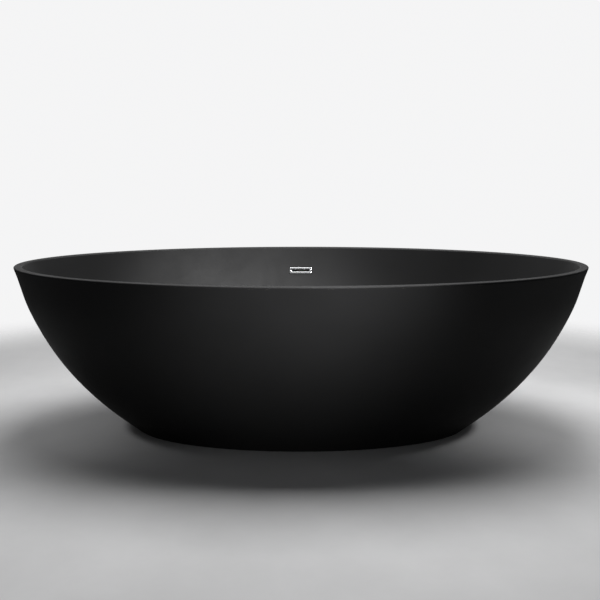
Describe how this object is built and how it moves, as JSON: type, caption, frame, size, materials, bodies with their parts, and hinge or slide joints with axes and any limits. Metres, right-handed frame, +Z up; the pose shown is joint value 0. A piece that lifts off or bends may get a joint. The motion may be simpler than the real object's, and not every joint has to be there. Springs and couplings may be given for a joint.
{
  "type": "freestanding bathtub",
  "caption": "Oval double-skinned freestanding bathtub with a slotted overflow, a push stopper drain and a hidden frame on levelling feet.",
  "frame": {"origin": "on the floor under the middle of the tub", "axes": "+X along the tub, +Y towards the side with the overflow, +Z up"},
  "size_m": [1.8015, 0.8989, 0.54],
  "materials": {
    "black_acrylic": "matte black acrylic, glass-fibre backed",
    "board": "sealed plywood",
    "resin": "filled polyester resin",
    "galvanised_steel": "galvanised",
    "zinc_steel": "bright zinc plated",
    "black_nylon": "moulded nylon",
    "chrome": "polished chrome plate",
    "brass": "turned brass",
    "rubber": "moulded rubber",
    "white_plastic": "moulded ABS",
    "grey_hose": "corrugated polypropylene hose",
    "stainless_steel": "stainless spring steel"
  },
  "bodies": {
    "tub": {"bar_end_caps": "black_nylon", "base_board": "board", "basin_shell": "black_acrylic", "board_screws": "zinc_steel", "bracket_bolts": "zinc_steel", "bracket_front_left": "galvanised_steel", "bracket_front_right": "galvanised_steel", "bracket_left": "galvanised_steel", "bracket_nuts": "zinc_steel", "bracket_rear_left": "galvanised_steel", "bracket_rear_right": "galvanised_steel", "bracket_right": "galvanised_steel", "drain_flange": "chrome", "drain_gasket_bottom": "rubber", "drain_gasket_top": "rubber", "drain_shoe": "white_plastic", "hose_clip_bottom": "stainless_steel", "hose_clip_top": "stainless_steel", "leg_bar_left": "galvanised_steel", "leg_bar_middle": "galvanised_steel", "leg_bar_right": "galvanised_steel", "lock_nuts": "zinc_steel", "outer_skirt": "black_acrylic", "overflow_box": "white_plastic", "overflow_hose": "grey_hose", "overflow_seal": "rubber", "overflow_trim": "chrome", "resin_bed": "resin", "stopper_sleeve": "brass", "stopper_spring": "stainless_steel", "tail_nut": "white_plastic", "tail_pipe": "white_plastic", "tail_washer": "rubber", "weld_nuts": "zinc_steel"},
    "foot_pad_1": {"foot_pad_1": "black_nylon"},
    "foot_stud_1": {"foot_stud_1": "zinc_steel"},
    "foot_pad_2": {"foot_pad_2": "black_nylon"},
    "foot_stud_2": {"foot_stud_2": "zinc_steel"},
    "foot_pad_3": {"foot_pad_3": "black_nylon"},
    "foot_stud_3": {"foot_stud_3": "zinc_steel"},
    "foot_pad_4": {"foot_pad_4": "black_nylon"},
    "foot_stud_4": {"foot_stud_4": "zinc_steel"},
    "foot_pad_5": {"foot_pad_5": "black_nylon"},
    "foot_stud_5": {"foot_stud_5": "zinc_steel"},
    "stopper": {"stopper_cap": "chrome", "stopper_seal": "rubber", "stopper_stem": "brass"}
  },
  "joints": [
    {"name": "foot_lift_1", "type": "slide", "parent": "tub", "child": "foot_pad_1", "axis": [0, 0, 1], "range_m": [-0.015, 0.005]},
    {"name": "foot_turn_1", "type": "hinge", "parent": "foot_pad_1", "child": "foot_stud_1", "pos_m": [-0.36, -0.105, 0.02], "axis": [0, 0, 1], "range_deg": [-3090, 1030]},
    {"name": "foot_lift_2", "type": "slide", "parent": "tub", "child": "foot_pad_2", "axis": [0, 0, 1], "range_m": [-0.015, 0.005]},
    {"name": "foot_turn_2", "type": "hinge", "parent": "foot_pad_2", "child": "foot_stud_2", "pos_m": [-0.36, 0.105, 0.02], "axis": [0, 0, 1], "range_deg": [-3090, 1030]},
    {"name": "foot_lift_3", "type": "slide", "parent": "tub", "child": "foot_pad_3", "axis": [0, 0, 1], "range_m": [-0.015, 0.005]},
    {"name": "foot_turn_3", "type": "hinge", "parent": "foot_pad_3", "child": "foot_stud_3", "pos_m": [0.12, 0, 0.02], "axis": [0, 0, 1], "range_deg": [-3090, 1030]},
    {"name": "foot_lift_4", "type": "slide", "parent": "tub", "child": "foot_pad_4", "axis": [0, 0, 1], "range_m": [-0.015, 0.005]},
    {"name": "foot_turn_4", "type": "hinge", "parent": "foot_pad_4", "child": "foot_stud_4", "pos_m": [0.36, -0.105, 0.02], "axis": [0, 0, 1], "range_deg": [-3090, 1030]},
    {"name": "foot_lift_5", "type": "slide", "parent": "tub", "child": "foot_pad_5", "axis": [0, 0, 1], "range_m": [-0.015, 0.005]},
    {"name": "foot_turn_5", "type": "hinge", "parent": "foot_pad_5", "child": "foot_stud_5", "pos_m": [0.36, 0.105, 0.02], "axis": [0, 0, 1], "range_deg": [-3090, 1030]},
    {"name": "stopper_lift", "type": "slide", "parent": "tub", "child": "stopper", "axis": [0, 0, 1], "range_m": [0, 0.009], "deforming": ["stopper_spring"]}
  ],
  "couplings": [
    {"joint": "foot_turn_1", "follows": "foot_lift_1", "rad_per_m": 3590.4},
    {"joint": "foot_turn_2", "follows": "foot_lift_2", "rad_per_m": 3590.4},
    {"joint": "foot_turn_3", "follows": "foot_lift_3", "rad_per_m": 3590.4},
    {"joint": "foot_turn_4", "follows": "foot_lift_4", "rad_per_m": 3590.4},
    {"joint": "foot_turn_5", "follows": "foot_lift_5", "rad_per_m": 3590.4}
  ]
}
